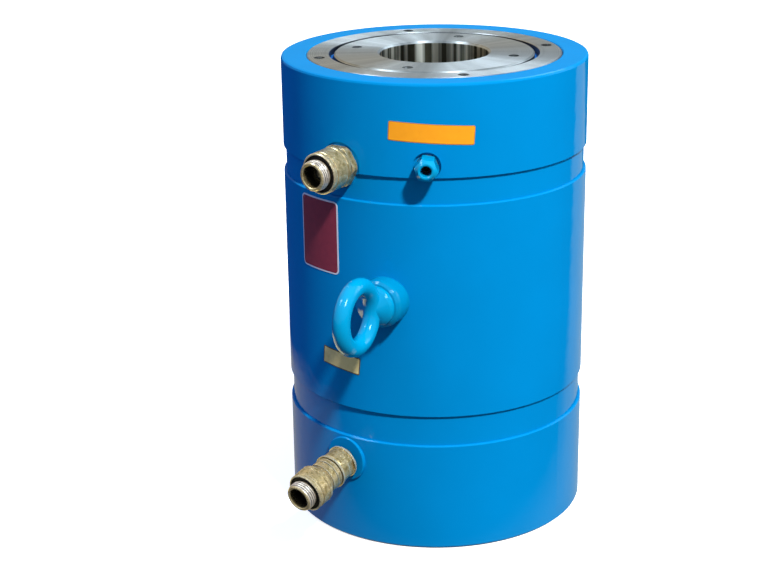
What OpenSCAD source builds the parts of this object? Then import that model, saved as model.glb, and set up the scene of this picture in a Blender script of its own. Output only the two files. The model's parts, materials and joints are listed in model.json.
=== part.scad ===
// Hollow plunger cylinder: a double-acting hydraulic cylinder with a hole right through it.
// Millimetres. The base stands on z = 0, the plunger rises along +Z and the oil ports face -Y.
// Angles round the body are counted from -Y towards +X. On a fitting, s is the way out of the wall.

/* [Barrel] */
// Outside diameter of the barrel
body_d = 300; // [280:5:340]
// Height with the plunger in
body_h = 464; // [450:2:560]
// Wall of the barrel round the gland nut
head_wall = 25; // [22:0.5:30]
// Width of the step that the gland nut rests on
gland_step = 5; // [4:0.5:7]
// Height of the base section, up to the lower band
base_h = 110; // [104:1:120]
// Height of the lower band
low_band_h = 29.5; // [24:0.5:34]
// Height of the upper band
top_band_h = 24.5; // [20:0.5:28]
// Height of the head section above the upper band
head_h = 88.5; // [86:0.5:96]
// Depth of both bands
band_depth = 2.5; // [1.5:0.5:4]

/* [Plunger] */
// Travel of the plunger
stroke = 250; // [150:10:250]
// Width of the space between the plunger and the bore
annulus_w = 22; // [20:0.5:25]
// Wall of the hollow plunger
plunger_wall = 35.5; // [32:0.5:39]
// Wall of the centre tube
tube_wall = 8.5; // [7:0.5:10]
// Thickness of the saddle
saddle_h = 28; // [24:1:34]
// Distance of the saddle's tapped holes from its edge
saddle_hole_edge = 17.5; // [14:0.5:20]
// Drilled diameter of the saddle's tapped holes
saddle_hole_d = 10.2; // [8.5:0.1:12]

/* [Gland] */
// Height of the gland nut
gland_h = 62; // [58:1:66]
// Open gap between the plunger and the top of the gland nut
wiper_w = 5; // [4:0.5:6]
// Diameter of the spanner holes
spanner_d = 9.5; // [8:0.5:11]

/* [Ports] */
// Distance of the upper port below the top
top_port_drop = 81.7; // [80:0.1:84]
// Distance of the lower port's boss below the lower band
port_edge = 2.6; // [2:0.2:6]
// Angle that the upper coupler hangs below level
top_droop = 3.5; // [0:0.5:6]
// Angle that the lower coupler hangs below level
low_droop = 11.5; // [0:0.5:13]
// Thread diameter of both ports
port_d = 21; // [18:0.5:22]
// Diameter of the couplers' collars
collar_d = 39.2; // [37:0.2:42]
// Diameter of the couplers' threaded noses
nose_d = 27.2; // [26:0.1:28]
// Length of a coupler
coupler_l = 43.5; // [42:0.5:50]
// Length of the adapter below the lower coupler
adapter_l = 27; // [25:0.5:36]
// Diameter of the adapter's flange
adapter_d = 33.6; // [31:0.2:36]
// Diameter of the welded boss round the lower port
port_boss_d = 44.8; // [40:0.4:50]

/* [Relief valve] */
// Angle of the relief valve round the body
relief_at = 33.2; // [30:0.2:60]
// Distance of the relief valve below the top
relief_drop = 76; // [74:0.5:78]
// Width of its hexagon across flats
relief_af = 19.5; // [18:0.5:20.5]
// Length of the hexagon outside the wall
relief_out = 20; // [16:1:24]

/* [Lifting eye] */
// Angle of the boss round the body
eye_at = 17.4; // [14:0.2:60]
// Height of the lifting eye
eye_z = 256.5; // [220:0.5:280]
// Angle that the eye is turned back from square to the wall
eye_turn = 8.5; // [0:0.5:12]
// Diameter of the boss
eye_boss_d = 47; // [42:1:52]
// Length of the boss at its middle
eye_boss_l = 16; // [14:0.5:24]
// Mean diameter of the eye
eye_ring_d = 57.2; // [54:0.2:64]
// Thickness of the eye
eye_wire_d = 16.7; // [14:0.1:18]

/* [Hidden] */
$fn = 96;
// Clearances: screwed joints, guided faces, unguided faces, seals and end stops
thread_gap = 0.15;
slide_gap = 0.05;
free_gap = 0.5;
seal_gap = 0.1;
stop_gap = 0.3;
// Length by which a cut runs past the face that it opens
past = 2;

// Radii from the outside in, each one wall or gap inside the last
body_r = body_d / 2;
gland_r = body_r - head_wall;
bore_r = gland_r - gland_step;
rod_r = bore_r - annulus_w;
tube_r = rod_r - plunger_wall - free_gap;
hole_r = tube_r - tube_wall;
band_r = body_r - band_depth;
head_z = body_h - head_h;
mid_top_z = head_z - top_band_h;
mid_low_z = base_h + low_band_h;
rim_edge = 2.4;
band_edge = 1.2;
fine_edge = 1;

// Gland nut and its rings
gland_z = body_h - gland_h;
wiper_r = rod_r + wiper_w;
wiper_drop = 5;
wiper_h = 10;
spanner_at = (wiper_r + gland_r) / 2;
spanner_deep = 14;
spanner_turn = 49.5;
rod_seal_w = 8;
rod_seal_h = 10;
seal_land = 6;
rod_seal_z = body_h - wiper_drop - wiper_h - rod_seal_h - seal_land;
rod_bearing_w = 4;
rod_bearing_h = 16;
bearing_land = 5;
rod_bearing_z = gland_z + bearing_land;
gland_seal_w = 4;
gland_seal_h = 6;
gland_seal_z = gland_z + 2 * gland_seal_w;

// Plunger, saddle and centre tube
port_boss_r = port_boss_d / 2;
low_port_z = base_h - port_edge - port_boss_r;
port_over_floor = 12.5;
floor_h = low_port_z - port_over_floor;
foot_z = floor_h + stop_gap;
piston_z = gland_z - stop_gap - stroke;
relief_w = 12;
foot_h = 24;
crown_h = 16;
land_z = foot_z + foot_h;
spigot_h = 18;
spigot_wall = 14;
spigot_r = tube_r + spigot_wall;
saddle_z = body_h - saddle_h;
tube_top_z = saddle_z - spigot_h - seal_land;
tube_flange_w = 8;
tube_flange_r = tube_r + tube_flange_w;
tube_flange_h = 12;
tube_seal_z = 36;
band_h = 12;
band_w = 4;
seal_h = 12;
seal_w = 9;
band_z = land_z + band_w;
seal_z = band_z + band_h + bearing_land;
saddle_hole_deep = 20;
saddle_hole_turn = 17.9;
saddle_hole_at = rod_r - saddle_hole_edge;
base_bolt_d = 14;
base_bolt_at = (tube_flange_r + body_r) / 2;
base_bolt_deep = 28;

// Ports and couplers
top_port_z = body_h - top_port_drop;
port_r = port_d / 2;
port_deep = 20;
collar_r = collar_d / 2;
spot_r = collar_r + 2;
spot_deep = 2;
oil_r = 4;
nose_r = nose_d / 2;
nose_l = 10.6;
boss_out = 1.6;
socket_l = 11.5;
socket_r = port_r + thread_gap;
chamber_r = 8.5;
seat_l = 3;
mouth_deep = 13;
seat_at = coupler_l - mouth_deep - seat_l;
seat_r = 6;
mouth_r = 10.5;
poppet_lift = 4;
poppet_h = 4;
poppet_rear = 2.7;
ring_in_r = nose_r - 0.6;
ring_out_r = collar_r - 1.8;
ring_deep = 4;
coupler_edge = 0.8;
coupler_spring_r = 6.8;
coupler_wire_r = 0.7;
// Grooves turned in the couplers: depth, width and distance from the edge
line_deep = 0.7;
line_w = 1.4;
line_at = 3.6;
// Hexagon behind the upper coupler's collar
coupler_af = 36.5;
coupler_hex_l = 7.5;
// Adapter: flange, body with two spanner flats, waist, ridge and neck
adapter_r = adapter_d / 2;
flange_l = 1.8;
adapter_body_r = adapter_r - 1;
adapter_flat = adapter_d - 5;
flat_l = 7;
waist_r = adapter_r - 1.6;
waist_l = 3;
ridge_r = adapter_r + 0.6;
ridge_l = 2;
ridge_back = 8;
ridge_at = adapter_l - ridge_back;
neck_r = adapter_r - 0.9;
neck_l = 9;
flare_l = 5;
// The adapter's tilted face clears the boss by a free gap at its lowest point
adapter_s = (boss_out + free_gap + adapter_r * sin(low_droop)) / cos(low_droop);

// Relief valve
relief_z = body_h - relief_drop;
relief_r = relief_af / 2 / cos(30);
relief_spot_r = relief_r + 1.7;
relief_turn = -9;
relief_nose_r = 7.2;
relief_nose_l = 4.5;
relief_spot_deep = 3.4;
relief_shank_r = 8;
relief_deep = 22;
relief_bore_r = 5;
washer_h = 1.5;
relief_seat_s = -14;
adjuster_s = 0;
adjuster_l = 7;
adjuster_af = 5;
adjuster_hole_r = 1.2;
adjuster_socket = 4.5;
relief_head_h = 4;
relief_cone_h = 2;
relief_spring_r = 3.7;
relief_wire_r = 0.55;

// Lifting eye
eye_ring_r = eye_ring_d / 2;
eye_wire_r = eye_wire_d / 2;
eye_shank_r = 10;
eye_floor = 3.5;
eye_shank_s = eye_floor;
eye_collar_r = 19.5;
eye_collar_h = 6;
eye_flare_h = 9;
eye_boss_edge = 6;
eye_out = eye_boss_l + eye_ring_r + eye_wire_r;

steel = [0.78, 0.77, 0.74];
dark_steel = [0.45, 0.46, 0.48];
brass = [0.72, 0.64, 0.40];
blue = [0.0, 0.42, 0.75];
rubber = [0.08, 0.07, 0.07];
bronze = [0.62, 0.45, 0.25];

// Frame of a fitting on the wall: local +Z leads out, local +Y up
module on_wall(at, z, droop = 0, turn = 0)
    rotate([0, 0, at])
        translate([0, -body_r, z])
            rotate([0, 0, -turn])
                rotate([90 + droop, 0, 0])
                    children();

module on_top_port() on_wall(0, top_port_z, top_droop) children();
module on_low_port() on_wall(0, low_port_z, low_droop) children();
module on_relief() on_wall(relief_at, relief_z) children();
module on_eye() on_wall(eye_at, eye_z, 0, eye_turn) children();

// Rod from s0 to s1 along the local +Z
module rod(r, s0, s1)
    translate([0, 0, s0])
        cylinder(r = r, h = s1 - s0);

// Cone from radius r0 at s0 to r1 at s1
module cone(r0, r1, s0, s1)
    translate([0, 0, s0])
        cylinder(r1 = r0, r2 = r1, h = s1 - s0);

// Hexagonal prism by its width across flats
module hexagon(af, s0, s1)
    translate([0, 0, s0])
        cylinder(r = af / 2 / cos(30), h = s1 - s0, $fn = 6);

// Plain ring between two radii
module ring(r_in, r_out, z0, z1)
    rotate_extrude()
        translate([r_in, z0])
            square([r_out - r_in, z1 - z0]);

// Ring with rounded lips, as seals have
module seal(r_in, r_out, z0, z1, edge = 1)
    rotate_extrude()
        polygon([
            [r_in + edge, z0], [r_out - edge, z0], [r_out, z0 + edge], [r_out, z1 - edge],
            [r_out - edge, z1], [r_in + edge, z1], [r_in, z1 - edge], [r_in, z0 + edge]
        ]);

// Compression spring with ground ends; each level holds the stretch of wire that crosses it
module spring(mean_r, wire_r, z0, z1, turns)
{
    pitch = (z1 - z0) / turns;
    half_arc = 360 * wire_r / pitch;
    side_points = 8;
    function edge(i, side) =
        let (t = -cos(180 * i / side_points))
        let (r = mean_r + side * wire_r * sqrt(max(0.02, 1 - t * t)))
        [r * cos(t * half_arc), r * sin(t * half_arc)];
    translate([0, 0, z0])
        linear_extrude(height = z1 - z0, twist = -360 * turns, slices = 14 * turns, segments = 0)
            polygon(concat(
                [for (i = [0 : side_points]) edge(i, 1)],
                [for (i = [side_points : -1 : 0]) edge(i, -1)]
            ));
}

// Barrel with its two bands, closed base, bore, gland seat and drilled ports
module barrel()
    color(blue)
    difference()
    {
        rotate_extrude()
            polygon([
                [tube_flange_r + thread_gap, 0],
                [body_r - rim_edge, 0], [body_r, rim_edge],
                [body_r, base_h - band_edge], [body_r - band_edge, base_h], [band_r, base_h],
                [band_r, mid_low_z], [body_r - band_edge, mid_low_z], [body_r, mid_low_z + band_edge],
                [body_r, mid_top_z - band_edge], [body_r - band_edge, mid_top_z], [band_r, mid_top_z],
                [band_r, head_z], [body_r - band_edge, head_z], [body_r, head_z + band_edge],
                [body_r, body_h - rim_edge], [body_r - rim_edge * 0.3, body_h - rim_edge * 0.3],
                [body_r - rim_edge, body_h],
                [gland_r + fine_edge, body_h], [gland_r, body_h - fine_edge],
                [gland_r, gland_z], [bore_r, gland_z], [bore_r, floor_h],
                [tube_r + thread_gap, floor_h], [tube_r + thread_gap, tube_flange_h],
                [tube_flange_r + thread_gap, tube_flange_h]
            ]);
        ring(tube_r, tube_r + band_w, tube_seal_z, tube_seal_z + gland_seal_h);
        on_top_port()
        {
            rod(port_r + thread_gap, -port_deep, past);
            rod(oil_r, -body_r + bore_r - 2 * past, 0);
            rod(spot_r, -spot_deep, 5 * past);
        }
        on_low_port()
        {
            rod(port_r + thread_gap, -port_deep, past);
            rod(oil_r, -body_r + bore_r - 2 * past, 0);
        }
        on_relief()
        {
            rod(relief_shank_r + thread_gap, -relief_deep, 0);
            rod(oil_r, -body_r + bore_r - past, 0);
            rod(relief_spot_r, -relief_spot_deep, 4 * past);
        }
        for (i = [0 : 3])
            rotate([0, 0, 45 + 90 * i])
                translate([base_bolt_at, 0, 0])
                    rod(base_bolt_d / 2, -past, base_bolt_deep);
    }

// Boss welded round the lower port, square to the wall
module lower_port_boss()
    color(blue)
    difference()
    {
        on_wall(0, low_port_z)
        {
            rod(port_boss_r, -2 * port_edge, boss_out - fine_edge);
            cone(port_boss_r, port_boss_r - fine_edge, boss_out - fine_edge, boss_out);
        }
        rod(body_r, 0, base_h - band_edge, $fn = 360);
        on_low_port() rod(port_r + thread_gap, -port_deep, adapter_s + past);
    }

// Boss welded to the barrel for the lifting eye, with a rounded front
module lifting_boss()
    color(blue)
    difference()
    {
        boss_r = eye_boss_d / 2;
        on_eye()
            rotate_extrude()
                polygon([
                    [0, -boss_r], [boss_r, -boss_r], [boss_r, eye_boss_l - eye_boss_edge],
                    [boss_r - eye_boss_edge * 0.13, eye_boss_l - eye_boss_edge * 0.5],
                    [boss_r - eye_boss_edge * 0.5, eye_boss_l - eye_boss_edge * 0.13],
                    [boss_r - eye_boss_edge, eye_boss_l], [0, eye_boss_l]
                ]);
        rod(body_r, mid_low_z + band_edge, mid_top_z - band_edge, $fn = 360);
        on_eye() rod(eye_shank_r + thread_gap, eye_shank_s - stop_gap, eye_boss_l + past);
    }

// Forged eye with its collar and shank
module eye_bolt()
    color(blue)
    on_eye()
    {
        collar_top = eye_boss_l + eye_collar_h;
        translate([0, 0, eye_out])
            rotate([0, 90, 0])
                rotate_extrude()
                    translate([eye_ring_r, 0])
                        circle(r = eye_wire_r);
        rod(eye_shank_r, eye_shank_s, collar_top);
        rotate_extrude()
            polygon([
                [0, eye_boss_l], [eye_collar_r - fine_edge, eye_boss_l], [eye_collar_r, eye_boss_l + fine_edge],
                [eye_collar_r, collar_top - 2 * fine_edge], [eye_collar_r - 2 * fine_edge, collar_top],
                [eye_wire_r / 2, collar_top + eye_flare_h], [0, collar_top + eye_flare_h]
            ]);
    }

// Gland nut, flush with the head
module gland_nut()
    color(steel)
    difference()
    {
        rotate_extrude()
            polygon([
                [rod_r + free_gap, gland_z], [gland_r - thread_gap - 1, gland_z],
                [gland_r - thread_gap, gland_z + 1], [gland_r - thread_gap, body_h - 1.2],
                [gland_r - thread_gap - 1.2, body_h], [wiper_r + 0.6, body_h], [wiper_r, body_h - 0.6],
                [wiper_r, body_h - wiper_drop - wiper_h], [rod_r + free_gap, body_h - wiper_drop - wiper_h]
            ]);
        ring(rod_r, rod_r + rod_seal_w, rod_seal_z, rod_seal_z + rod_seal_h);
        ring(rod_r, rod_r + rod_bearing_w, rod_bearing_z, rod_bearing_z + rod_bearing_h);
        ring(gland_r - gland_seal_w, gland_r, gland_seal_z, gland_seal_z + gland_seal_h);
        for (i = [0 : 3])
            rotate([0, 0, spanner_turn + 90 * i])
                translate([0, -spanner_at, 0])
                {
                    rod(spanner_d / 2, body_h - spanner_deep, body_h + past);
                    cone(spanner_d / 2, spanner_d / 2 + 0.6, body_h - 0.6, body_h);
                }
    }

// Static ring between gland nut and barrel
module gland_seal()
    color(rubber)
    seal(gland_r - gland_seal_w + seal_gap, gland_r - seal_gap,
         gland_seal_z + seal_gap, gland_seal_z + gland_seal_h - seal_gap);

// Wiper in the open gap round the saddle
module rod_wiper()
    color(blue)
    rotate_extrude()
        polygon([
            [rod_r + seal_gap, body_h - wiper_drop], [rod_r + seal_gap, body_h - wiper_drop - wiper_h],
            [wiper_r - seal_gap, body_h - wiper_drop - wiper_h], [wiper_r - seal_gap, body_h - wiper_drop - 2],
            [rod_r + 2, body_h - wiper_drop - 2]
        ]);

module rod_seal()
    color(rubber)
    seal(rod_r + seal_gap, rod_r + rod_seal_w - seal_gap,
         rod_seal_z + seal_gap, rod_seal_z + rod_seal_h - seal_gap);

// Bearing strip that guides the plunger
module rod_bearing()
    color(bronze)
    ring(rod_r + slide_gap, rod_r + rod_bearing_w - seal_gap,
         rod_bearing_z + seal_gap, rod_bearing_z + rod_bearing_h - seal_gap);

// Fixed tube round the centre hole, screwed into the base with a flange below
module centre_tube()
    color(dark_steel)
    rotate_extrude()
        polygon([
            [hole_r, 0], [tube_flange_r, 0], [tube_flange_r, tube_flange_h], [tube_r, tube_flange_h],
            [tube_r, tube_top_z - 2], [tube_r - 2, tube_top_z], [hole_r, tube_top_z]
        ]);

module centre_tube_seal()
    color(rubber)
    seal(tube_r + seal_gap, tube_r + band_w - seal_gap,
         tube_seal_z + seal_gap, tube_seal_z + gland_seal_h - seal_gap);

// Hollow plunger with its piston, relieved at both ends so that oil can get in
module plunger()
    color(steel)
    difference()
    {
        rotate_extrude()
            polygon([
                [tube_r + free_gap, foot_z], [bore_r - relief_w, foot_z], [bore_r - relief_w, land_z],
                [bore_r - free_gap - 1, land_z], [bore_r - free_gap, land_z + 1],
                [bore_r - free_gap, piston_z - crown_h - 1], [bore_r - free_gap - 1, piston_z - crown_h],
                [bore_r - relief_w, piston_z - crown_h], [bore_r - relief_w, piston_z], [rod_r, piston_z],
                [rod_r, saddle_z], [spigot_r + thread_gap, saddle_z],
                [spigot_r + thread_gap, saddle_z - spigot_h - 0.5], [tube_r + free_gap, saddle_z - spigot_h - 0.5]
            ]);
        ring(bore_r - band_w, bore_r, band_z, band_z + band_h);
        ring(bore_r - seal_w, bore_r, seal_z, seal_z + seal_h);
        ring(tube_r, tube_r + band_w, band_z, band_z + band_h);
        ring(tube_r, tube_r + seal_w, seal_z, seal_z + seal_h);
    }

// Saddle with the centre hole, screwed into the plunger by its spigot
module saddle()
    color(steel)
    difference()
    {
        rotate_extrude()
            polygon([
                [hole_r, saddle_z - spigot_h], [spigot_r - 1.5, saddle_z - spigot_h],
                [spigot_r, saddle_z - spigot_h + 1.5], [spigot_r, saddle_z],
                [rod_r, saddle_z], [rod_r, body_h - 1.5], [rod_r - 1.5, body_h],
                [hole_r + 2, body_h], [hole_r, body_h - 2]
            ]);
        for (i = [0 : 3])
            rotate([0, 0, saddle_hole_turn + 90 * i])
                translate([0, -saddle_hole_at, 0])
                {
                    rod(saddle_hole_d / 2, body_h - saddle_hole_deep, body_h + past);
                    cone(saddle_hole_d / 2, saddle_hole_d / 2 + 1.2, body_h - 1.2, body_h);
                }
    }

module piston_seal()
    color(rubber)
    seal(bore_r - seal_w + seal_gap, bore_r - seal_gap, seal_z + seal_gap, seal_z + seal_h - seal_gap);

module piston_band()
    color(bronze)
    ring(bore_r - band_w + seal_gap, bore_r - slide_gap, band_z + seal_gap, band_z + band_h - seal_gap);

module tube_seal()
    color(rubber)
    seal(tube_r + seal_gap, tube_r + seal_w - seal_gap, seal_z + seal_gap, seal_z + seal_h - seal_gap);

module tube_band()
    color(bronze)
    ring(tube_r + slide_gap, tube_r + band_w - seal_gap, band_z + seal_gap, band_z + band_h - seal_gap);

// Collar, ring groove and nose that both couplers share, from s = 0 at the rear face
module coupler_front(collar_s)
{
    rim_s = coupler_l - nose_l;
    back_s = collar_s + line_at;
    front_s = rim_s - line_at - line_w;
    groove_r = collar_r - line_deep;
    difference()
    {
        rotate_extrude()
            polygon([
                [0, collar_s], [collar_r - coupler_edge, collar_s], [collar_r, collar_s + coupler_edge],
                [collar_r, back_s], [groove_r, back_s + line_deep], [groove_r, back_s + line_w],
                [collar_r, back_s + line_w + line_deep],
                [collar_r, front_s - line_deep], [groove_r, front_s], [groove_r, front_s + line_w],
                [collar_r, front_s + line_w + line_deep],
                [collar_r, rim_s - coupler_edge], [collar_r - coupler_edge, rim_s], [0, rim_s]
            ]);
        ring(ring_in_r, ring_out_r, rim_s - ring_deep, rim_s + past);
    }
    rod(nose_r, rim_s, coupler_l - fine_edge);
    cone(nose_r, nose_r - fine_edge, coupler_l - fine_edge, coupler_l);
}

// Inside of a coupler: screwed socket, spring chamber, seat and mouth
module coupler_bore()
{
    rod(socket_r, -past, socket_l);
    rod(chamber_r, 0, seat_at);
    rod(seat_r, 0, coupler_l);
    rod(mouth_r, seat_at + seat_l, coupler_l + past);
    cone(mouth_r, mouth_r + coupler_edge + past, coupler_l - coupler_edge, coupler_l + past);
}

module coupler_ring()
    seal(ring_in_r + seal_gap, ring_out_r - seal_gap,
         coupler_l - nose_l - ring_deep, coupler_l - nose_l - fine_edge, coupler_edge);

// Check valve poppet, closed on its seat
module coupler_poppet()
{
    front = seat_at - stop_gap;
    rod(chamber_r - stop_gap, front - poppet_h, front);
    rod(seat_r - stop_gap, front, seat_at + seat_l - 1);
    cone(seat_r - stop_gap, seat_r - 1, seat_at + seat_l - 1, seat_at + seat_l - stop_gap);
    rod(coupler_spring_r - coupler_wire_r - 2 * stop_gap, front - poppet_h - poppet_rear, front - poppet_h);
}

module coupler_spring(start)
    spring(coupler_spring_r, coupler_wire_r, start, seat_at - stop_gap - poppet_h, 4);

module on_top_coupler() on_top_port() translate([0, 0, -spot_deep]) children();
module on_low_coupler() on_low_port() translate([0, 0, adapter_s + adapter_l]) children();

module upper_nipple()
    color(brass)
    on_top_port()
    difference()
    {
        rod(port_r, -port_deep, socket_l - spot_deep - free_gap);
        rod(oil_r, -port_deep - past, socket_l);
    }

// Half coupler of the retract port, with a hexagon at its rear
module upper_coupler()
    color(brass)
    on_top_coupler()
    difference()
    {
        corner_r = collar_r + coupler_edge;
        union()
        {
            intersection()
            {
                hexagon(coupler_af, 0, coupler_hex_l);
                rotate_extrude()
                    polygon([
                        [0, 0], [corner_r - line_w, 0], [corner_r, line_w], [corner_r, coupler_hex_l - line_w],
                        [corner_r - line_w, coupler_hex_l], [0, coupler_hex_l]
                    ]);
            }
            rod(collar_r - line_w, coupler_hex_l - fine_edge, coupler_hex_l + line_w);
            coupler_front(coupler_hex_l + line_deep);
        }
        coupler_bore();
    }

module upper_seal_ring() color(rubber) on_top_coupler() coupler_ring();
module upper_poppet() color(steel) on_top_coupler() coupler_poppet();
module upper_spring() color(steel) on_top_coupler() coupler_spring(socket_l - free_gap);

// Adapter of the advance port, with flange, spanner flats, ridge and neck
module lower_adapter()
    color(brass)
    on_low_port()
    difference()
    {
        flange_s = adapter_s + flange_l;
        ridge_s = adapter_s + ridge_at;
        union()
        {
            rod(port_r, -port_deep, adapter_s + fine_edge);
            rod(adapter_r, adapter_s, flange_s);
            rod(adapter_body_r, flange_s, ridge_s - waist_l);
            cone(adapter_body_r, waist_r, ridge_s - waist_l, ridge_s - fine_edge);
            rod(waist_r, ridge_s - fine_edge, ridge_s);
            rod(ridge_r, ridge_s, ridge_s + ridge_l);
            rod(waist_r, ridge_s + ridge_l, ridge_s + ridge_l + fine_edge);
            rod(neck_r, ridge_s + ridge_l + fine_edge, adapter_s + adapter_l);
            rod(port_r, adapter_s, adapter_s + adapter_l + socket_l - free_gap);
        }
        rod(oil_r, -port_deep - past, adapter_s + adapter_l + socket_l + past);
        for (side = [0, 1])
            mirror([side, 0, 0])
                translate([adapter_flat / 2, -adapter_r, flange_s])
                    cube([adapter_r, adapter_d, flat_l]);
    }

// Half coupler of the advance port, flared from the neck
module lower_coupler()
    color(brass)
    on_low_coupler()
    difference()
    {
        union()
        {
            cone(neck_r - line_deep, neck_r, 0, line_deep);
            rod(neck_r, line_deep, neck_l - line_w);
            rod(neck_r - line_deep, neck_l - line_w, neck_l);
            cone(neck_r, collar_r - coupler_edge, neck_l, neck_l + flare_l);
            coupler_front(neck_l + flare_l);
        }
        coupler_bore();
    }

module lower_seal_ring() color(rubber) on_low_coupler() coupler_ring();
module lower_poppet() color(steel) on_low_coupler() coupler_poppet();
module lower_spring() color(steel) on_low_coupler() coupler_spring(socket_l - free_gap);

// Hexagon plug of the relief valve with its seat and a coned nose
module relief_body()
    color(blue)
    on_relief()
    difference()
    {
        hex_s = washer_h - relief_spot_deep;
        nose_s = relief_out - relief_nose_l;
        union()
        {
            rod(relief_shank_r, -relief_deep, hex_s + fine_edge);
            intersection()
            {
                rotate([0, 0, relief_turn]) hexagon(relief_af, hex_s, relief_out);
                rotate_extrude()
                    polygon([
                        [0, hex_s], [relief_r - fine_edge, hex_s], [relief_r, hex_s + fine_edge],
                        [relief_r, nose_s], [relief_nose_r, relief_out], [0, relief_out]
                    ]);
            }
        }
        rod(relief_bore_r, relief_seat_s, relief_out + past);
        cone(relief_bore_r, relief_bore_r + coupler_edge + past, relief_out - coupler_edge, relief_out + past);
        rod(relief_bore_r / 2, -relief_deep - past, relief_out);
    }

// Sealing washer under the plug
module relief_washer()
    color(dark_steel)
    on_relief()
    ring(relief_shank_r + thread_gap, relief_r - fine_edge, -relief_spot_deep, washer_h - relief_spot_deep);

// Setting screw with a key socket that also lets the oil out
module relief_adjuster()
    color(steel)
    on_relief()
    difference()
    {
        rod(relief_bore_r - thread_gap, adjuster_s, adjuster_s + adjuster_l);
        rod(adjuster_hole_r, adjuster_s - past, adjuster_s + adjuster_l);
        hexagon(adjuster_af, adjuster_s + adjuster_l - adjuster_socket, adjuster_s + adjuster_l + past);
    }

module relief_poppet()
    color(steel)
    on_relief()
    {
        head_s = relief_seat_s + stop_gap;
        cone(relief_bore_r / 2, relief_bore_r - stop_gap, head_s, head_s + relief_cone_h);
        rod(relief_bore_r - stop_gap, head_s + relief_cone_h, head_s + relief_head_h);
        rod(relief_spring_r - relief_wire_r - stop_gap, head_s + relief_head_h, head_s + 2 * relief_head_h);
    }

module relief_spring()
    color(steel)
    on_relief()
    spring(relief_spring_r, relief_wire_r, relief_seat_s + stop_gap + relief_head_h, adjuster_s, 6);

barrel();
lower_port_boss();
lifting_boss();
eye_bolt();
gland_nut();
gland_seal();
rod_wiper();
rod_seal();
rod_bearing();
centre_tube();
centre_tube_seal();
plunger();
saddle();
piston_seal();
piston_band();
tube_seal();
tube_band();
upper_nipple();
upper_coupler();
upper_seal_ring();
upper_poppet();
upper_spring();
lower_adapter();
lower_coupler();
lower_seal_ring();
lower_poppet();
lower_spring();
relief_body();
relief_washer();
relief_adjuster();
relief_poppet();
relief_spring();
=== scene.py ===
# %% [markdown]
# # Hollow plunger cylinder
# A hydraulic cylinder with a hole right through it, for pulling rods and cables: a painted steel body with a
# turned steel top, plated oil couplers and a lifting eye. Its solids come packed from the part's source.
# This lesson gives them their finishes, adds what is too fine for the solids, and sets up the picture.

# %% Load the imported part
import json
import math

import bpy
from mathutils import Matrix, Vector


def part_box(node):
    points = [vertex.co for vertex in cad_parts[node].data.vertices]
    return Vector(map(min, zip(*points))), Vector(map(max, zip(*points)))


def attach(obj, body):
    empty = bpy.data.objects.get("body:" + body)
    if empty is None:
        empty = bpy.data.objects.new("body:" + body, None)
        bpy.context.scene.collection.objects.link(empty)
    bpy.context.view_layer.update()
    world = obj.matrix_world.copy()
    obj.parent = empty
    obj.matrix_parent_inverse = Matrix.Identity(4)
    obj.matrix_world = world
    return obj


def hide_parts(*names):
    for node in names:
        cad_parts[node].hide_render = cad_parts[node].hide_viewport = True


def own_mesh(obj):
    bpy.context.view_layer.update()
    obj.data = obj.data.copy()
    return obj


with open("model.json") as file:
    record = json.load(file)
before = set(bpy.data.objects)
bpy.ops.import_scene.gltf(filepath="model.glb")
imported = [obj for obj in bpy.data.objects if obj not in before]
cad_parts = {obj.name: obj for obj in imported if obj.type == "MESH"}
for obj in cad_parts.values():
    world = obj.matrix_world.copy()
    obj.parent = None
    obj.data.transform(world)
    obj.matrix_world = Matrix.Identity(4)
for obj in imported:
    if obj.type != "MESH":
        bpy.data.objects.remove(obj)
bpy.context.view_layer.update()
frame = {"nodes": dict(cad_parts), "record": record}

nodes = frame["nodes"]

# %% [markdown]
# ## Sizes
# The barrel is the piece that the rest is placed round. Its size could be typed again here, but measuring the
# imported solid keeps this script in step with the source. Sizes are in metres.
# Angles round the body are counted from -Y, where the oil ports are, towards +X.

# %% Sizes
MM = 0.001
barrel_low, barrel_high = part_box("barrel")
BODY_R = (barrel_high.x - barrel_low.x) / 2
BODY_H = barrel_high.z
print("barrel radius", round(BODY_R, 4), "height", round(BODY_H, 4))

# %% [markdown]
# ## Camera
# The camera stands to the right of the ports and looks down on the flush steel top. It could be aimed by hand
# or with a Track To constraint. Here its distance, height and angles were solved from the rims and bands of
# the barrel in the photograph, so its axes are worked out from those angles.

# %% Camera
VIEW_AZIMUTH = math.radians(35.9)
CAMERA_DISTANCE = 1.64197
CAMERA_RISE = 0.32299
PITCH = math.radians(19.055)
ROLL = math.radians(-0.852)
YAW = math.radians(-1.832)
LENS_MM = 79.5
SENSOR_MM = 36.0


def camera_axes():
    """Right, up and backward axes of the camera, before it is swung round to its azimuth."""
    forward = Vector((math.sin(YAW) * math.cos(PITCH), math.cos(YAW) * math.cos(PITCH), -math.sin(PITCH)))
    right = Vector((math.cos(YAW), -math.sin(YAW), 0))
    up = right.cross(forward)
    rolled_right = math.cos(ROLL) * right + math.sin(ROLL) * up
    rolled_up = -math.sin(ROLL) * right + math.cos(ROLL) * up
    return rolled_right, rolled_up, -forward


def make_camera():
    """The photograph's camera."""
    camera = bpy.data.objects.new("camera", bpy.data.cameras.new("camera"))
    bpy.context.collection.objects.link(camera)
    axes = Matrix(camera_axes()).transposed().to_4x4()
    place = Matrix.Translation((0, -CAMERA_DISTANCE, BODY_H + CAMERA_RISE))
    camera.matrix_world = Matrix.Rotation(VIEW_AZIMUTH, 4, "Z") @ place @ axes
    camera.data.sensor_width = SENSOR_MM
    camera.data.lens = LENS_MM
    bpy.context.scene.camera = camera
    return camera


camera = make_camera()
print("camera at", [round(v, 3) for v in camera.location])

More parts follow.
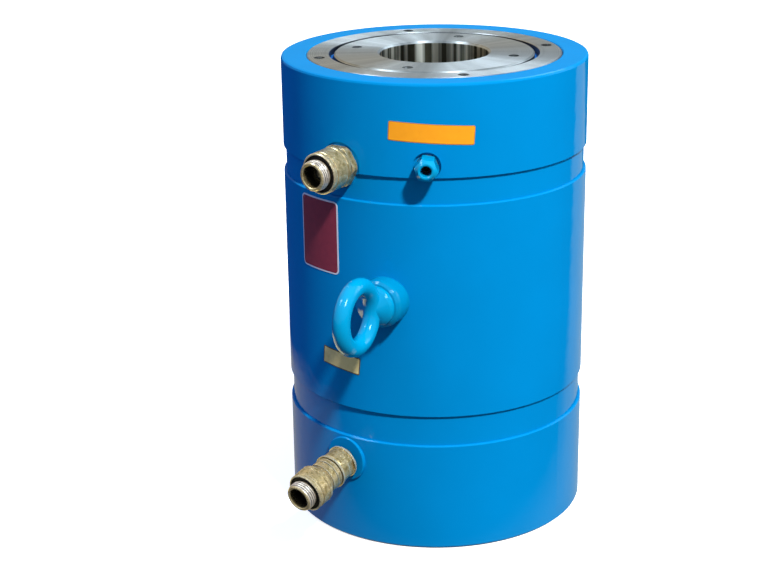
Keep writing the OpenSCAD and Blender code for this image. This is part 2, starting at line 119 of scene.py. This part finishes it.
# %% [markdown]
# ## Material helpers
# Every finish here is a tree of shader nodes. Nodes clicked together by hand can't be repeated, so a function
# adds each one: its settings are made, and each input takes a value, a socket, or a node to link from.
# Another function turns an sRGB hex colour, as a colour picker shows it, into the shader's linear values.

# %% Material helpers
def colour(code):
    """Linear RGBA of an sRGB hex colour."""
    channels = [int(code[i:i + 2], 16) / 255 for i in (1, 3, 5)]
    linear = [c / 12.92 if c <= 0.04045 else ((c + 0.055) / 1.055) ** 2.4 for c in channels]
    return (*linear, 1.0)


def plug(tree, node, inputs):
    """Sets each input to its value, or links it to a socket or to a node's first output in use."""
    for key, value in inputs.items():
        if isinstance(value, bpy.types.Node):
            value = next(output for output in value.outputs if output.enabled)
        if isinstance(value, bpy.types.NodeSocket):
            tree.links.new(value, node.inputs[key])
        else:
            node.inputs[key].default_value = value


def add(tree, kind, inputs=None, **settings):
    """A new node with its settings made and its inputs plugged."""
    node = tree.nodes.new(kind)
    for key, value in settings.items():
        setattr(node, key, value)
    plug(tree, node, inputs or {})
    return node


def new_material(name):
    """A new material: (material, tree, shader, position on the part in metres)."""
    material = bpy.data.materials.new(name)
    material.use_nodes = True
    tree = material.node_tree
    point = add(tree, "ShaderNodeTexCoord").outputs["Object"]
    return material, tree, tree.nodes["Principled BSDF"], point


def wave(size):
    """Texture scale whose features are about that size, in the units of the texture's coordinate."""
    return 1.0 / size


print("mid grey as a linear value:", round(colour("#808080")[0], 3))

# %% [markdown]
# ## Gloss paint
# The body is sprayed with gloss enamel over turned steel: an even blue under a clear shine, which has slow
# ripples and a fine orange peel of about 2 mm. Bumping the whole surface would mottle the blue too, so only
# the clear coat is bumped, and the blue under it has no shine of its own.
# Enamel has an IOR of about 1.5, and 1.4 matched the softer shine here. The lifting eye, its boss and the
# relief plug look brushed, so their coat shines more and has larger waves. The boss's blue is a darker copy:
# painted shade.

# %% Blue paint
def blue_paint(name, deep, pale, coat, peel_size, peel_depth):
    """Enamel whose clear coat has slow ripples and a finer peel."""
    material, tree, shader, point = new_material(name)
    drift = add(tree, "ShaderNodeTexNoise", {"Vector": point, "Scale": wave(90 * MM), "Detail": 3.0})
    ripple = add(tree, "ShaderNodeTexNoise", {"Vector": point, "Scale": wave(14 * MM), "Detail": 1.0})
    peel = add(tree, "ShaderNodeTexNoise", {"Vector": point, "Scale": wave(peel_size), "Detail": 1.0})
    wavy = add(tree, "ShaderNodeBump", {"Height": ripple, "Distance": 0.2 * MM})
    peeled = add(tree, "ShaderNodeBump", {"Height": peel, "Distance": peel_depth, "Normal": wavy})
    blue = {"Factor": drift, "A": colour(deep), "B": colour(pale)}
    plug(tree, shader, {
        "Base Color": add(tree, "ShaderNodeMix", blue, data_type="RGBA"),
        "Roughness": 0.5,
        "Specular IOR Level": 0.0,
        "Coat Weight": coat,
        "Coat Roughness": 0.07,
        "Coat IOR": 1.4,
        "Coat Normal": peeled,
    })
    return material


sprayed_blue = blue_paint("blue_gloss_enamel", "#0073ab", "#007dba",
                          coat=0.22, peel_size=2.2 * MM, peel_depth=0.008 * MM)
brushed_blue = blue_paint("blue_brushed_enamel", "#0082ae", "#008cb8",
                          coat=1.0, peel_size=5.0 * MM, peel_depth=0.25 * MM)
# A darker copy of the brushed blue for the boss: painted shade
shaded_boss_blue = blue_paint("blue_boss_enamel_shaded", "#00749e", "#007eaa",
                       coat=1.0, peel_size=5.0 * MM, peel_depth=0.25 * MM)
print("paints:", sprayed_blue.name, brushed_blue.name, shaded_boss_blue.name)

# %% [markdown]
# ## Painted shade in hollows
# Holes, seams and corners of steel and plating are darkened towards near black: painted shade. A mask could
# be painted by hand, but it would need unwrapping. Ambient occlusion finds them by itself: it measures how
# open a point's sky is.

# %% Painted shade in hollows
HOLLOW_SHADE = "#120e08"


def with_painted_shade(tree, plain_tone, reach, dark_at, unshaded_at):
    """The plain colour with painted shade in hollows: dark_at and unshaded_at are shares of open sky within
    reach.
    """
    sky = add(tree, "ShaderNodeAmbientOcclusion", {"Distance": reach}, samples=8).outputs["AO"]
    share = add(tree, "ShaderNodeMapRange", {"Value": sky, "From Min": dark_at, "From Max": unshaded_at})
    layers = {"Factor": share, "A": colour(HOLLOW_SHADE), "B": plain_tone}
    return add(tree, "ShaderNodeMix", layers, data_type="RGBA")


print("grime:", HOLLOW_SHADE)

# %% [markdown]
# ## Turned steel
# Gland nut, saddle and centre tube are bare steel off a lathe. The tool leaves rings a fraction of a
# millimetre apart, which stretch each highlight across them into a bright ray. Modelled grooves would need
# millions of faces, so the rings are noise over the distance from the axis, or along it on a bored or ground
# wall, and anisotropy stretches the shine. The plunger is ground afterwards, so its rings are finer.
# The wall of the centre hole mirrors the room in upright streaks; that reflection is painted into its colour
# as noise over the angle. A share of the same noise paints highlight rays into the rings of level faces.

# %% Where the centre hole is
# Radii where the painted reflection streaks of the centre hole give way to the tool rings
REFLECTION_FADE_FROM = 60 * MM
REFLECTION_FADE_TO = 65 * MM


def outside_hole(tree, radius):
    """0 on the upright wall of the centre hole, 1 on level faces and further out."""
    normal = add(tree, "ShaderNodeTexCoord").outputs["Normal"]
    tilt = add(tree, "ShaderNodeSeparateXYZ", {0: normal}).outputs["Z"]
    either_way = add(tree, "ShaderNodeMath", {0: tilt}, operation="ABSOLUTE")
    level = add(tree, "ShaderNodeMapRange", {"Value": either_way, "From Min": 0.2, "From Max": 0.4})
    fade = {"Value": radius, "From Min": REFLECTION_FADE_FROM, "From Max": REFLECTION_FADE_TO}
    further = add(tree, "ShaderNodeMapRange", fade)
    return add(tree, "ShaderNodeMath", {0: level, 1: further}, operation="MAXIMUM")


print("streaks fade out", REFLECTION_FADE_FROM, "to", REFLECTION_FADE_TO, "metres from the axis")


# %% Turned steel
def turned_steel(name, bright, dark, groove, streaks, reflection_dark, reflection_bright, along_axis=False):
    """Bare steel with tool rings and painted highlight rays, and painted reflection streaks that many radians
    wide down the centre hole.
    """
    material, tree, shader, point = new_material(name)
    parts = add(tree, "ShaderNodeSeparateXYZ", {0: point}).outputs
    flat_point = add(tree, "ShaderNodeVectorMath", {0: point, 1: (1, 1, 0)}, operation="MULTIPLY")
    radius = add(tree, "ShaderNodeVectorMath", {0: flat_point}, operation="LENGTH")
    angle = add(tree, "ShaderNodeMath", {0: parts["Y"], 1: parts["X"]}, operation="ARCTAN2")
    across = parts["Z"] if along_axis else radius
    ring_noise = {"W": across, "Scale": wave(groove), "Detail": 3.0}
    rings = add(tree, "ShaderNodeTexNoise", ring_noise, noise_dimensions="1D")
    bar_noise = {"W": angle, "Scale": wave(streaks), "Detail": 1.5}
    reflection_bars = add(tree, "ShaderNodeTexNoise", bar_noise, noise_dimensions="1D")
    cloud = add(tree, "ShaderNodeTexNoise", {"Vector": point, "Scale": wave(25 * MM), "Detail": 4.0})

    # A share of the angle noise paints highlight rays from the axis into the ring tones
    rays = add(tree, "ShaderNodeMix", {"Factor": 0.3, "A": rings, "B": reflection_bars})
    ring_share = add(tree, "ShaderNodeMapRange", {"Value": rays, "From Min": 0.35, "From Max": 0.65})
    bar_share = add(tree, "ShaderNodeMapRange", {"Value": reflection_bars, "From Min": 0.42, "From Max": 0.60})
    ring_tones = {"Factor": ring_share, "A": colour(dark), "B": colour(bright)}
    ringed_with_rays = add(tree, "ShaderNodeMix", ring_tones, data_type="RGBA")
    # Painted reflection streaks for the wall of the centre hole
    bar_tones = {"Factor": bar_share, "A": colour(reflection_dark), "B": colour(reflection_bright)}
    painted_reflection = add(tree, "ShaderNodeMix", bar_tones, data_type="RGBA")
    tones = {"Factor": outside_hole(tree, radius), "A": painted_reflection, "B": ringed_with_rays}
    steel = add(tree, "ShaderNodeMix", tones, data_type="RGBA")
    plug(tree, shader, {
        # Base colour with painted shade in holes and seams
        "Base Color": with_painted_shade(tree, steel, reach=10 * MM, dark_at=0.42, unshaded_at=0.86),
        "Metallic": 1.0,
        "Roughness": add(tree, "ShaderNodeMapRange", {"Value": cloud, "To Min": 0.32, "To Max": 0.46}),
        "Normal": add(tree, "ShaderNodeBump", {"Height": rings, "Strength": 0.2, "Distance": 0.03 * MM}),
        "Anisotropic": 0.85,
        "Anisotropic Rotation": 0.25,
        "Tangent": add(tree, "ShaderNodeTangent", direction_type="RADIAL", axis="Z"),
    })
    return material


faced_steel = turned_steel("turned_steel", "#e9e7e2", "#aeaba4", groove=0.7 * MM,
                           streaks=0.16, reflection_dark="#4a4436", reflection_bright="#d2c8b4")
ground_steel = turned_steel("ground_steel", "#d6d7d8", "#bcbec0", groove=0.2 * MM,
                            streaks=0.5, reflection_dark="#b4b6b8", reflection_bright="#d8d9da", along_axis=True)
bored_steel = turned_steel("bored_steel", "#b9bbbe", "#85888c", groove=0.5 * MM,
                           streaks=0.16, reflection_dark="#403b30", reflection_bright="#c4bcaa", along_axis=True)
print("steels:", faced_steel.name, ground_steel.name, bored_steel.name)

# %% [markdown]
# ## Yellow zinc plating
# Couplers and adapter are steel, plated with zinc a few micrometres thick and passivated yellow: mottled and
# a
# little green. Their edges are made pale: painted highlight, and partly wear where the zinc is rubbed bare.
# Edges could be marked by hand, but ambient occlusion inside the solid finds them, because the next face is
# close behind the surface there.
# The yellow film isn't metal, so the shader is only partly metallic.

# %% Yellow zinc plating
def edge_sheen_and_wear(tree, plain_tone, sheen_and_bare):
    """The plain colour, made pale along outer edges: painted highlight, partly wear."""
    behind = add(tree, "ShaderNodeAmbientOcclusion", {"Distance": 1.6 * MM}, samples=8, inside=True)
    edge_share = {"Value": behind.outputs["AO"], "From Min": 0.95, "From Max": 0.55, "To Max": 0.8}
    edge_sheen_and_rubbed = add(tree, "ShaderNodeMapRange", edge_share)
    layers = {"Factor": edge_sheen_and_rubbed, "A": plain_tone, "B": colour(sheen_and_bare)}
    return add(tree, "ShaderNodeMix", layers, data_type="RGBA")


def zinc_plating(name, dark, bright, sheen_and_bare):
    """Passivated zinc with patches of a few millimetres, painted highlights and wear along edges, and painted
    shade in hollows.
    """
    material, tree, shader, point = new_material(name)
    mottle = add(tree, "ShaderNodeTexNoise", {"Vector": point, "Scale": wave(3.5 * MM), "Detail": 6.0})
    grain = add(tree, "ShaderNodeTexNoise", {"Vector": point, "Scale": wave(0.6 * MM), "Detail": 2.0})
    patches = add(tree, "ShaderNodeMapRange", {"Value": mottle, "From Min": 0.34, "From Max": 0.66})
    tones = {"Factor": patches, "A": colour(dark), "B": colour(bright)}
    # Pale edges: painted highlight, partly wear
    sheen_and_worn = edge_sheen_and_wear(tree, add(tree, "ShaderNodeMix", tones, data_type="RGBA"), sheen_and_bare)
    plug(tree, shader, {
        # Base colour with painted shade in hollows and the coupler mouths
        "Base Color": with_painted_shade(tree, sheen_and_worn, reach=25 * MM, dark_at=0.25, unshaded_at=0.7),
        "Metallic": 0.7,
        "Roughness": add(tree, "ShaderNodeMapRange", {"Value": patches, "To Min": 0.38, "To Max": 0.24}),
        "Normal": add(tree, "ShaderNodeBump", {"Height": grain, "Strength": 0.2, "Distance": 0.04 * MM}),
    })
    return material


# The pale edge tone is painted highlight, partly bare zinc
yellow_zinc = zinc_plating("yellow_passivated_zinc", "#a48a50", "#f0d49c", sheen_and_bare="#fff4d4")
print("plating:", yellow_zinc.name)

# %% [markdown]
# ## Wire, bright steel and moulded pieces
# Springs are drawn wire and valve poppets are bright steel: an even metal with a faint cloud of tone.
# Seals, wiper and bearing strips are moulded from rubber and resin, dull with a fine grain. Each could have
# its own tree, but these pieces are small or hidden, so one function serves each kind.
# Black oxide, which on the relief adjuster is painted shade that keeps its hole dark, the film of the plates
# and the painted shade in thread valleys are as dull, so they use the moulded one too.

# %% Wire, bright steel and moulded pieces
def plain_metal(name, dark, bright, rough, metallic=1.0):
    """Even metal with a faint cloud of tone, about 4 mm across."""
    material, tree, shader, point = new_material(name)
    cloud = add(tree, "ShaderNodeTexNoise", {"Vector": point, "Scale": wave(4 * MM), "Detail": 4.0})
    tones = {"Factor": cloud, "A": colour(dark), "B": colour(bright)}
    uneven = {"Value": cloud, "To Min": rough, "To Max": rough + 0.12}
    plug(tree, shader, {
        "Base Color": add(tree, "ShaderNodeMix", tones, data_type="RGBA"),
        "Metallic": metallic,
        "Roughness": add(tree, "ShaderNodeMapRange", uneven),
    })
    return material


def moulded(name, dark, bright, rough, grain_size):
    """A dull surface with a fine grain."""
    material, tree, shader, point = new_material(name)
    grain = add(tree, "ShaderNodeTexNoise", {"Vector": point, "Scale": wave(grain_size), "Detail": 3.0})
    tones = {"Factor": grain, "A": colour(dark), "B": colour(bright)}
    uneven = {"Value": grain, "To Min": rough, "To Max": rough + 0.1}
    plug(tree, shader, {
        "Base Color": add(tree, "ShaderNodeMix", tones, data_type="RGBA"),
        "Roughness": add(tree, "ShaderNodeMapRange", uneven),
        "Normal": add(tree, "ShaderNodeBump", {"Height": grain, "Strength": 0.2, "Distance": 0.03 * MM}),
        "Specular IOR Level": 0.25,
    })
    return material


plain_finishes = {
    "black_rubber": moulded("black_rubber", "#0e0c0b", "#1d1917", rough=0.5, grain_size=1.5 * MM),
    "blue_wiper": moulded("blue_wiper", "#004c96", "#0a5fae", rough=0.35, grain_size=2.0 * MM),
    "bearing_strip": moulded("bearing_strip", "#6b4c2a", "#8a6637", rough=0.45, grain_size=1.0 * MM),
    "spring_steel": plain_metal("spring_steel", "#8d9094", "#b5b8bb", rough=0.25),
    "bright_steel": plain_metal("bright_steel", "#cfcfce", "#f0efec", rough=0.14),
    # Black oxide on the relief adjuster is painted shade: it keeps the relief hole dark
    "black_oxide": moulded("black_oxide", "#0b0b0c", "#17171a", rough=0.4, grain_size=1.0 * MM),
}
print("plain finishes:", sorted(plain_finishes))

# %% [markdown]
# ## Every solid gets its finish
# The part's record names a slot for each node. A finish could be set node by node, but following the slots
# dresses all the pieces in one loop. Then the brush-painted pieces get their own blue, the boss a darker copy
# of it as painted shade.

# %% Give the nodes their finishes
finishes = {
    "blue_paint": sprayed_blue,
    "turned_steel": faced_steel,
    "ground_steel": ground_steel,
    "bored_steel": bored_steel,
    "yellow_zinc": yellow_zinc,
    **plain_finishes,
}
for part in frame["record"]["subparts"]:
    obj = nodes[part["node"]]
    obj.data.materials.clear()
    obj.data.materials.append(finishes[part["material_slot"]])
for node, paint in (("eye_bolt", brushed_blue), ("relief_body", brushed_blue), ("lifting_boss", shaded_boss_blue)):
    nodes[node].data.materials[0] = paint
print("finishes:", len(finishes))

# %% [markdown]
# ## Pieces made here
# Threads and plates are too fine for the solids, so they are made here as meshes. Operators and modifiers
# could make them, but points worked out by a formula are exact and quick. Each mesh is in the part's own
# frame and rides on the cylinder body, so that it moves with it.

# %% Piece helpers
def new_piece(name, points, faces, material, smooth=True):
    """A mesh piece that rides on the cylinder body."""
    mesh = bpy.data.meshes.new(name)
    mesh.from_pydata([tuple(p) for p in points], [], faces)
    mesh.validate()
    mesh.polygons.foreach_set("use_smooth", [smooth] * len(mesh.polygons))
    mesh.materials.append(material)
    piece = bpy.data.objects.new(name, mesh)
    bpy.context.collection.objects.link(piece)
    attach(piece, "cylinder")
    return piece


def grid_faces(columns, rows, closed=False):
    """Quads of a grid of points stored row by row."""
    span = columns if closed else columns - 1
    return [(r * columns + c, r * columns + (c + 1) % columns,
             (r + 1) * columns + (c + 1) % columns, (r + 1) * columns + c)
            for r in range(rows - 1) for c in range(span)]


print("faces in a grid of 3 by 3 points:", len(grid_faces(3, 3)))

# %% [markdown]
# ## Screw threads
# The hose screws onto a thread on each coupler's nose. A screw modifier could sweep a profile, but a sleeve
# whose radius follows a triangle wave along a helix can also fade out at both ends, as a cut thread does.
# Hoses have rubbed its zinc pale. Faces deep in it take a second, dark material: painted shade in the
# valleys.

# %% Screw threads
THREAD_PITCH = 2.6 * MM
THREAD_HEIGHT = 0.8 * MM
SLEEVE_GAP = 0.02 * MM
REAR_CLEAR = 0.6 * MM
FRONT_CLEAR = 0.3 * MM
STEPS_ROUND = 72
LEVELS_PER_PITCH = 10
# The triangle wave is made this much too tall and then cut off, which gives flat crests
CREST_CUT = 1.25
# The painted shade starts this share of the way down from the crest
VALLEY_SHADE_FROM = 0.72
worn_zinc = plain_metal("worn_zinc", "#d6c4b0", "#f4e8d8", rough=0.34, metallic=0.65)
thread_valley_shade = moulded("thread_valley_shade", "#1c1812", "#2c261e", rough=0.6, grain_size=1.0 * MM)


def valley(s, step):
    """How deep in the thread a point is: 0 at the crest and 1 at the bottom."""
    phase = (s / THREAD_PITCH - step / STEPS_ROUND) % 1.0
    return abs(2.0 * phase - 1.0)


def thread_sleeve(name, place, radius, start, end):
    """A threaded sleeve round the local +Z of a matrix, from start to end along it."""
    levels = int((end - start) / THREAD_PITCH * LEVELS_PER_PITCH)
    run_out = 0.7 * THREAD_PITCH
    points = []
    for level in range(levels + 1):
        s = start + (end - start) * level / levels
        fade = max(0.0, min(1.0, (s - start) / run_out, (end - s) / run_out))
        for step in range(STEPS_ROUND):
            ridge = 1.0 - valley(s, step)
            r = radius + THREAD_HEIGHT * fade * min(1.0, CREST_CUT * ridge)
            turn = 2 * math.pi * step / STEPS_ROUND
            points.append(place @ Vector((r * math.cos(turn), r * math.sin(turn), s)))
    sleeve = new_piece(name, points, grid_faces(STEPS_ROUND, levels + 1, closed=True), worn_zinc)
    sleeve.data.materials.append(thread_valley_shade)
    for index, face in enumerate(sleeve.data.polygons):
        level, step = divmod(index, STEPS_ROUND)
        s = start + (end - start) * (level + 0.5) / levels
        # Faces deep in the thread get the painted valley shade
        face.material_index = int(valley(s, step + 0.5) > VALLEY_SHADE_FROM)
    return sleeve


def nose_thread(name, mount_name):
    """The thread on a coupler's nose, placed by the nose's mount in the record."""
    mount = next(m for m in frame["record"]["mounts"] if m["name"] == mount_name)
    turned = Vector(mount["axis"]).to_track_quat("Z", "Y").to_matrix().to_4x4()
    place = Matrix.Translation(Vector(mount["pos_m"])) @ turned
    radius = mount["dims"]["r_mm"] * MM + SLEEVE_GAP
    half = mount["dims"]["length_mm"] * MM / 2
    return thread_sleeve(name, place, radius, -half + REAR_CLEAR, half - FRONT_CLEAR)


upper_thread = nose_thread("upper_nose_thread", "retract_nose")
lower_thread = nose_thread("lower_nose_thread", "advance_nose")
print("thread faces:", len(upper_thread.data.polygons), len(lower_thread.data.polygons))

# %% [markdown]
# ## Springs
# Each valve pushes on one end of its spring while the other end stays put, so the coil shortens. A stiff coil
# would be cut by the moving valve, so a copy of its mesh takes its place. Here a copy of each spring's mesh
# takes its place on the body, and its length and the share left when the valve is open are worked out.

# %% Springs
def live_spring(node, joint_name):
    """Puts a copy of a spring in its place and hides the original: its length in mm and the share left when
    its valve is open.
    """
    joint = next(j for j in frame["record"]["behaviour"]["joints"] if j["name"] == joint_name)
    push = Vector(joint["axis"])
    spring = bpy.data.objects.new(node + "_coil", nodes[node].data.copy())
    bpy.context.collection.objects.link(spring)
    spring.matrix_world = nodes[node].matrix_world.copy()
    reach = [push.dot(spring.matrix_world @ v.co) for v in spring.data.vertices]
    length = max(reach) - min(reach)
    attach(spring, "cylinder")
    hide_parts(node)
    share = (length - joint["range_m"][1]) / length
    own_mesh(spring)
    return round(length / MM, 2), round(share, 3)


for node, joint_name in (("upper_spring", "upper_poppet_open"), ("lower_spring", "lower_poppet_open"),
                         ("relief_spring", "relief_poppet_lift")):
    print(node, "length in mm and share left:", live_spring(node, joint_name))

# %% [markdown]
# ## Plates
# Three thin plates are stuck round the barrel, each a plain coloured face inside a narrow border.
# A flat plane could be bent with a modifier, but a grid laid out on the barrel's radius fits it exactly.
# Border and face are two sheets, the face a little further out, so that each keeps one clean material.

# %% Sheets on the barrel
SHEET_COLUMNS = 49
SHEET_ROWS = 7
SMALLEST_CORNER = 0.5


def on_body(azimuth, radius, z):
    """The point at that angle round the axis, in metres."""
    return Vector((radius * math.sin(azimuth), -radius * math.cos(azimuth), z))


def plate_sheet(name, spec, inset, lift, material):
    """A rounded sheet, set in from the plate's edge by that many mm and lifted off the paint."""
    width = (spec["width"] - 2 * inset) * MM
    height = (spec["height"] - 2 * inset) * MM
    corner = max(SMALLEST_CORNER, spec["corner"] - inset) * MM
    lean = math.radians(spec["lean"])
    points = []
    for row in range(SHEET_ROWS):
        for column in range(SHEET_COLUMNS):
            # Columns crowd towards the ends, where the corners are
            u = -math.cos(math.pi * column / (SHEET_COLUMNS - 1)) * width / 2
            into_corner = max(0.0, abs(u) - (width / 2 - corner))
            half = height / 2 - corner + math.sqrt(max(0.0, corner ** 2 - into_corner ** 2))
            v = half * (2 * row / (SHEET_ROWS - 1) - 1)
            across = u * math.cos(lean) - v * math.sin(lean)
            up = u * math.sin(lean) + v * math.cos(lean)
            azimuth = math.radians(spec["at"]) + across / BODY_R
            points.append(on_body(azimuth, BODY_R + lift, spec["z"] * MM + up))
    sheet = new_piece(name, points, grid_faces(SHEET_COLUMNS, SHEET_ROWS), material, smooth=False)
    # The sheet ends just short of the paint
    thick = sheet.modifiers.new("thickness", "SOLIDIFY")
    thick.thickness = lift * 0.9
    thick.offset = -1
    return sheet


print("points in a sheet:", SHEET_COLUMNS * SHEET_ROWS)

# %% Plates
BORDER_LIFT = 0.25 * MM
FACE_LIFT = 0.33 * MM
PLATES = (
    # Degrees for the place round the body and the lean, millimetres for the rest
    {"name": "long_plate", "at": 34.8, "z": 418.1, "width": 79.7, "height": 17.9, "lean": -3.5,
     "corner": 1.5, "border": 0.8, "face": ("#e08c18", "#ea981e"), "edge": ("#b06a20", "#c07a2a")},
    {"name": "tall_plate", "at": -11.6, "z": 309.5, "width": 52.9, "height": 71.9, "lean": 0.0,
     "corner": 5.0, "border": 1.5, "face": ("#74283a", "#883240"), "edge": ("#c4c4c8", "#dcdce0")},
    {"name": "small_plate", "at": -1.7, "z": 186.9, "width": 45.8, "height": 17.6, "lean": -5.4,
     "corner": 1.2, "border": 1.0, "face": ("#d2b878", "#e6d090"), "edge": ("#4a3c1c", "#5c4c28")},
)
for spec in PLATES:
    name = spec["name"]
    edge_film = moulded(name + "_border_film", *spec["edge"], rough=0.35, grain_size=3 * MM)
    plate_sheet(name + "_border", spec, 0.0, BORDER_LIFT, edge_film)
    face_film = moulded(name + "_face_film", *spec["face"], rough=0.6, grain_size=6 * MM)
    plate_sheet(name + "_face", spec, spec["border"], FACE_LIFT, face_film)
print("plates:", len(PLATES))

# %% [markdown]
# ## Floor
# The part stands on a plain pale floor. A floor that is white all over would also shine white in the gloss
# and wash the blue out. A Light Path node tells the rays apart, so the camera sees it white, the soft light
# that bounces off it is dim, and the gloss mirrors only a warm strip of it, beside and behind the part.

# %% Floor paint
STRIP_EDGES = (
    # Degrees right of the camera, metres from the axis that way, half width of the blur in metres
    (42, 0.195, 0.035),
    (-90, 0.45, 0.05),
    (-135, 0.47, 0.04),
    (0, 0.14, 0.03),
)


def short_of(tree, point, right, edge, blur):
    """1 up to a straight line on the floor and 0 past it."""
    aim = on_body(VIEW_AZIMUTH + math.radians(right), 1.0, 0)
    along = add(tree, "ShaderNodeVectorMath", {0: point, 1: aim}, operation="DOT_PRODUCT")
    return add(tree, "ShaderNodeMapRange", {
        "Value": along, "From Min": edge - blur, "From Max": edge + blur, "To Min": 1.0, "To Max": 0.0,
    })


def floor_paint():
    """White to the camera, dim to soft light, and a warm strip to the gloss."""
    material, tree, shader, point = new_material("pale_floor")
    rays = add(tree, "ShaderNodeLightPath").outputs
    strip, *others = [short_of(tree, point, *line) for line in STRIP_EDGES]
    for share in others:
        strip = add(tree, "ShaderNodeMath", {0: strip, 1: share}, operation="MULTIPLY")
    mirrored = add(tree, "ShaderNodeMapRange", {"Value": strip, "To Max": 1.7})
    white = add(tree, "ShaderNodeMapRange", {"Value": rays["Is Camera Ray"], "To Max": 0.8})
    glow = {"Factor": rays["Is Glossy Ray"], "A": white, "B": mirrored}
    warm = {"Factor": rays["Is Glossy Ray"], "A": colour("#ffffff"), "B": colour("#fff2a8")}
    dim = {"Factor": rays["Is Glossy Ray"], "A": colour("#565c62"), "B": colour("#303438")}
    unseen = add(tree, "ShaderNodeMix", dim, data_type="RGBA")
    seen = {"Factor": rays["Is Camera Ray"], "A": unseen, "B": colour("#ececec")}
    plug(tree, shader, {
        "Base Color": add(tree, "ShaderNodeMix", seen, data_type="RGBA"),
        "Roughness": 0.8,
        "Specular IOR Level": 0.0,
        "Emission Color": add(tree, "ShaderNodeMix", warm, data_type="RGBA"),
        "Emission Strength": add(tree, "ShaderNodeMix", glow),
    })
    return material


pale_floor = floor_paint()
print("floor paint:", pale_floor.name)

# %% Floor
FLOOR_HALF = 20.0
FLOOR_Z = -0.5 * MM


def make_floor():
    """A floor that reaches past the picture."""
    signs = ((-1, -1), (1, -1), (1, 1), (-1, 1))
    mesh = bpy.data.meshes.new("floor")
    mesh.from_pydata([(x * FLOOR_HALF, y * FLOOR_HALF, FLOOR_Z) for x, y in signs], [], [(0, 1, 2, 3)])
    mesh.materials.append(pale_floor)
    floor = bpy.data.objects.new("floor", mesh)
    bpy.context.collection.objects.link(floor)


make_floor()
print("floor width in metres:", 2 * FLOOR_HALF)

# %% [markdown]
# ## Lamps
# A small, distant key from the upper right gives the crisp shadows under the fittings, a panel lifts the
# right side, and a blue fill opens the left. A square lamp mirrored in gloss would give itself away, so the
# lamps only shed light, and the highlights come from bright spots in the room.

# %% Lamps
LIGHT_TARGET = Vector((0, 0, 0.28))


def lamp(name, right, rise, distance, size, watts, tone="#ffffff"):
    """A square area light, placed by degrees right of the camera and above the floor."""
    light = bpy.data.lights.new(name, "AREA")
    light.shape = "SQUARE"
    light.size = size
    light.energy = watts
    light.color = colour(tone)[:3]
    holder = bpy.data.objects.new(name, light)
    bpy.context.collection.objects.link(holder)
    azimuth = VIEW_AZIMUTH + math.radians(right)
    level = distance * math.cos(math.radians(rise))
    holder.location = LIGHT_TARGET + on_body(azimuth, level, distance * math.sin(math.radians(rise)))
    holder.rotation_euler = (LIGHT_TARGET - holder.location).to_track_quat("-Z", "Y").to_euler()
    holder.visible_glossy = False
    return holder


lamps = (
    lamp("key", right=28, rise=49, distance=6.0, size=0.45, watts=640),
    lamp("right_panel", right=88, rise=22, distance=2.4, size=1.0, watts=18),
    lamp("left_fill", right=-105, rise=12, distance=2.4, size=1.6, watts=16, tone="#2a52ff"),
)
print("lamps:", [holder.name for holder in lamps])

# %% [markdown]
# ## Room
# Steel and gloss show what stands round them. A photographed room could be wrapped round the scene, but a few
# bright spots in a plain bluish one are enough, and each can be moved until its highlight sits right.
# The camera sees the room white, so that it runs on from the floor.

# %% Room
BRIGHT_SPOTS = (
    # Degrees right of the camera and above the floor, cosine of the half width, strength
    (112, 20, 0.93, 3.0),
    (158, 40, 0.975, 8.0),
    (28, 45, 0.977, 44.0),
    (-75, 50, 0.985, 26.0),
)


def towards(tree, way, right, rise, near):
    """1 straight towards that many degrees right of the camera and above the floor, 0 past its half width."""
    up = math.radians(rise)
    aim = on_body(VIEW_AZIMUTH + math.radians(right), math.cos(up), math.sin(up))
    along = add(tree, "ShaderNodeVectorMath", {0: way, 1: aim}, operation="DOT_PRODUCT")
    edge = {"Value": along, "From Min": near}
    return add(tree, "ShaderNodeMapRange", edge, interpolation_type="SMOOTHSTEP")


def room_tone(tree, way, rays):
    """White to the camera, bluish to soft light, and with a warm side where it is mirrored."""
    warm_side = towards(tree, way, right=-135, rise=12, near=0.55)
    sides = {"Factor": warm_side, "A": colour("#c8dcee"), "B": colour("#ece2c8")}
    mirrored = add(tree, "ShaderNodeMix", sides, data_type="RGBA")
    lit = {"Factor": rays["Is Glossy Ray"], "A": colour("#c8e4ff"), "B": mirrored}
    unseen = add(tree, "ShaderNodeMix", lit, data_type="RGBA")
    seen = {"Factor": rays["Is Camera Ray"], "A": unseen, "B": colour("#ffffff")}
    return add(tree, "ShaderNodeMix", seen, data_type="RGBA")


def room_strength(tree, way, rays):
    """Even to the camera, brighter upwards to the rest, and with the bright spots where it is mirrored."""
    height = add(tree, "ShaderNodeSeparateXYZ", {0: way}).outputs["Z"]
    soft = add(tree, "ShaderNodeMapRange", {"Value": height, "To Min": 0.22, "To Max": 0.70})
    shine = add(tree, "ShaderNodeMapRange", {
        "Value": height, "From Min": 0.35, "From Max": 0.85, "To Min": 0.55, "To Max": 0.8,
    })
    for right, rise, near, power in BRIGHT_SPOTS:
        share = towards(tree, way, right, rise, near)
        spot = add(tree, "ShaderNodeMapRange", {"Value": share, "To Max": power})
        shine = add(tree, "ShaderNodeMath", {0: shine, 1: spot}, operation="ADD")
    unseen = add(tree, "ShaderNodeMix", {"Factor": rays["Is Glossy Ray"], "A": soft, "B": shine})
    return add(tree, "ShaderNodeMix", {"Factor": rays["Is Camera Ray"], "A": unseen, "B": 1.0})


def make_room():
    """The world that stands round the part."""
    world = bpy.data.worlds.new("studio")
    bpy.context.scene.world = world
    world.use_nodes = True
    tree = world.node_tree
    way = add(tree, "ShaderNodeTexCoord").outputs["Generated"]
    rays = add(tree, "ShaderNodeLightPath").outputs
    plug(tree, tree.nodes["Background"], {
        "Color": room_tone(tree, way, rays),
        "Strength": room_strength(tree, way, rays),
    })


make_room()
bpy.context.scene.view_settings.view_transform = "Standard"
print("bright spots:", len(BRIGHT_SPOTS))
